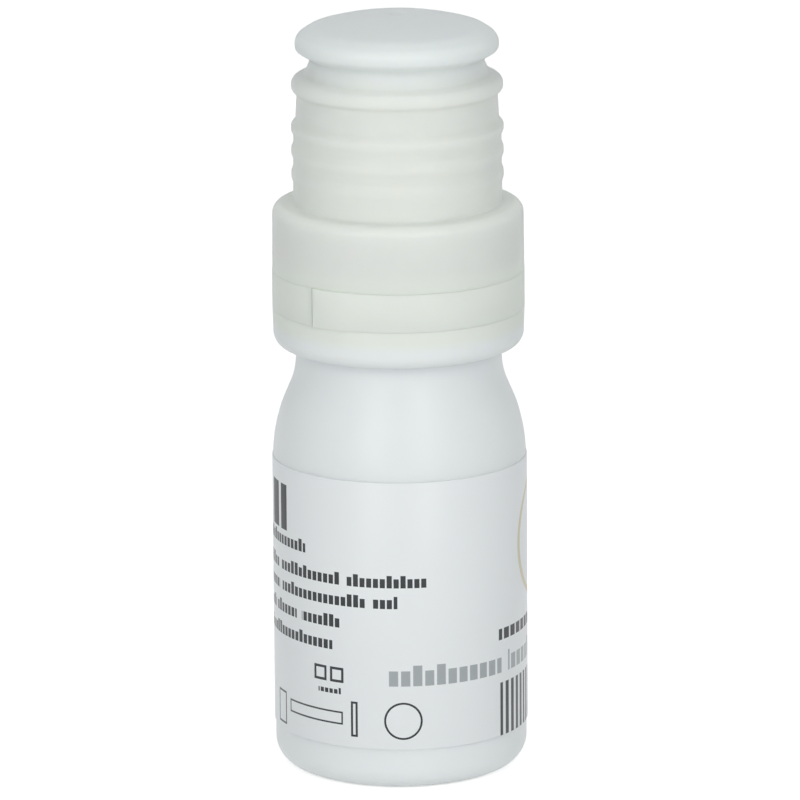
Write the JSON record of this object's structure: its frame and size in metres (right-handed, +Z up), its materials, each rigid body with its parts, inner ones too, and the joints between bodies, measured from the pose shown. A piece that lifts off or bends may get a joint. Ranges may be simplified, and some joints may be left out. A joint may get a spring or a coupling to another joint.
{
  "type": "eye drop bottle",
  "caption": "Small white squeeze bottle with a wrap label, push-fit collar, tear-off band, valved drop nozzle and a translucent pull-off cap with grip rings and a mushroom head.",
  "frame": {"origin": "middle of the bottle's standing ring, on the surface it stands on", "axes": "+Z up along the bottle's axis, -Y towards the viewer of the picture"},
  "size_m": [0.0246, 0.0246, 0.0736],
  "materials": {
    "bottle_plastic": "opaque white polyethylene, satin",
    "label_film": "white plastic film, satin",
    "gasket_rubber": "soft grey seal",
    "base_plastic": "natural polypropylene",
    "filter_membrane": "white porous membrane",
    "nozzle_plastic": "ivory white, moulded smooth",
    "pin_plastic": "white, moulded smooth",
    "seal_rubber": "translucent silicone",
    "spring_steel": "bright drawn wire",
    "collar_plastic": "natural milky translucent plastic",
    "cap_plastic": "natural milky translucent plastic"
  },
  "bodies": {
    "bottle_body": {"bottle": "bottle_plastic", "label": "label_film", "neck_gasket": "gasket_rubber", "dispenser_base": "base_plastic", "vent_filter": "filter_membrane", "flow_restrictor": "base_plastic", "nozzle": "nozzle_plastic", "closure_collar": "collar_plastic"},
    "cap": {"protective_cap": "cap_plastic"},
    "tear_band": {"tamper_band": "collar_plastic"},
    "valve": {"valve_pin": "pin_plastic", "pin_seal": "seal_rubber", "return_spring": "spring_steel"}
  },
  "joints": [
    {"name": "cap_pull", "type": "slide", "parent": "bottle_body", "child": "cap", "axis": [0, 0, 1], "range_m": [0, 0.03]},
    {"name": "band_turn", "type": "hinge", "parent": "bottle_body", "child": "tear_band", "pos_m": [0, 0, 0.047], "axis": [0, 0, 1], "continuous": true},
    {"name": "valve_slide", "type": "slide", "parent": "bottle_body", "child": "valve", "axis": [0, 0, -1], "range_m": [0, 0.0008], "stiffness_N_per_m": 250, "springref_m": -0.0015, "deforming": ["return_spring"]}
  ]
}
